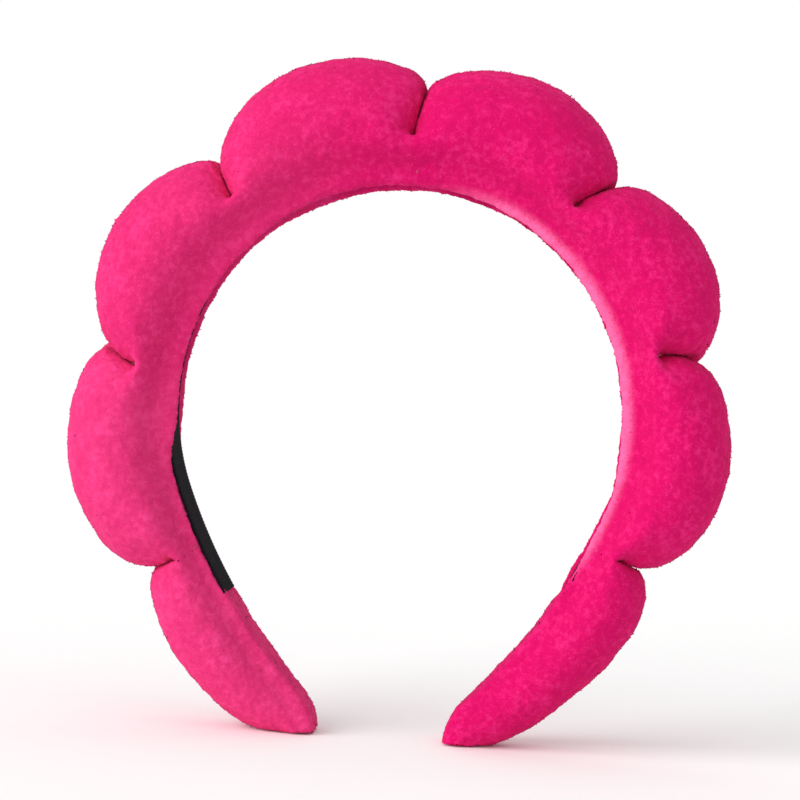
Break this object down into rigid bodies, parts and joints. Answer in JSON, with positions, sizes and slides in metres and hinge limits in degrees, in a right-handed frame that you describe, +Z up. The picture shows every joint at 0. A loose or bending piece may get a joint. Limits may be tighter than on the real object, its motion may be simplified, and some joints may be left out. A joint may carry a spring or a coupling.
{
  "type": "spa headband",
  "caption": "Padded spa headband: a springy hoop in a terry sleeve pinched into rounded foam puffs, with tapered tips and a ribbon lining.",
  "frame": {"origin": "midway between the two tips, on the plane that they stand on", "axes": "+Z up from the tips to the crown, +X across the head towards the right of the front view, +Y from the front of the band to its back"},
  "size_m": [0.1675, 0.044, 0.1717],
  "materials": {
    "pink_terry": "soft looped pile",
    "pad_foam": "open cell foam",
    "hoop_plastic": "moulded satin",
    "lining_ribbon": "ribbed weave",
    "tie_thread": "twisted thread"
  },
  "bodies": {
    "crown": {"hoop_crown": "hoop_plastic", "ribbon_crown": "lining_ribbon", "tie_crown": "tie_thread", "cover_crown_left": "pink_terry", "foam_crown_left": "pad_foam", "cover_crown_right": "pink_terry", "foam_crown_right": "pad_foam", "tie_upper_left": "tie_thread", "tie_upper_right": "tie_thread"},
    "upper_left": {"hoop_upper_left": "hoop_plastic", "ribbon_upper_left": "lining_ribbon", "cover_upper_left": "pink_terry", "foam_upper_left": "pad_foam", "tie_lower_left": "tie_thread"},
    "lower_left": {"hoop_lower_left": "hoop_plastic", "ribbon_lower_left": "lining_ribbon", "cover_lower_left": "pink_terry", "foam_lower_left": "pad_foam", "tie_end_left": "tie_thread"},
    "end_left": {"hoop_end_left": "hoop_plastic", "ribbon_end_left": "lining_ribbon", "cover_end_left": "pink_terry", "foam_end_left": "pad_foam"},
    "upper_right": {"hoop_upper_right": "hoop_plastic", "ribbon_upper_right": "lining_ribbon", "cover_upper_right": "pink_terry", "foam_upper_right": "pad_foam", "tie_lower_right": "tie_thread"},
    "lower_right": {"hoop_lower_right": "hoop_plastic", "ribbon_lower_right": "lining_ribbon", "cover_lower_right": "pink_terry", "foam_lower_right": "pad_foam", "tie_end_right": "tie_thread"},
    "end_right": {"hoop_end_right": "hoop_plastic", "ribbon_end_right": "lining_ribbon", "cover_end_right": "pink_terry", "foam_end_right": "pad_foam"}
  },
  "joints": [
    {"name": "left_upper_flex", "type": "hinge", "parent": "crown", "child": "upper_left", "pos_m": [-0.03874, 0, 0.13126], "axis": [0, 1, 0], "range_deg": [-3.5, 15], "stiffness_Nm_per_rad": 0.9},
    {"name": "left_lower_flex", "type": "hinge", "parent": "upper_left", "child": "lower_left", "pos_m": [-0.06003, 0, 0.09489], "axis": [0, 1, 0], "range_deg": [-2.6, 11], "stiffness_Nm_per_rad": 0.75},
    {"name": "left_end_flex", "type": "hinge", "parent": "lower_left", "child": "end_left", "pos_m": [-0.0503, 0, 0.04542], "axis": [0, 1, 0], "range_deg": [-1.4, 5.8], "stiffness_Nm_per_rad": 0.55},
    {"name": "right_upper_flex", "type": "hinge", "parent": "crown", "child": "upper_right", "pos_m": [0.03988, 0, 0.13029], "axis": [0, -1, 0], "range_deg": [-3.5, 15], "stiffness_Nm_per_rad": 0.9},
    {"name": "right_lower_flex", "type": "hinge", "parent": "upper_right", "child": "lower_right", "pos_m": [0.05952, 0, 0.09733], "axis": [0, -1, 0], "range_deg": [-2.6, 11], "stiffness_Nm_per_rad": 0.75},
    {"name": "right_end_flex", "type": "hinge", "parent": "lower_right", "child": "end_right", "pos_m": [0.05339, 0, 0.0517], "axis": [0, -1, 0], "range_deg": [-1.4, 5.8], "stiffness_Nm_per_rad": 0.55}
  ],
  "couplings": [
    {"joint": "left_lower_flex", "follows": "left_upper_flex", "ratio": 0.73},
    {"joint": "left_end_flex", "follows": "left_upper_flex", "ratio": 0.38},
    {"joint": "right_lower_flex", "follows": "right_upper_flex", "ratio": 0.73},
    {"joint": "right_end_flex", "follows": "right_upper_flex", "ratio": 0.38}
  ]
}
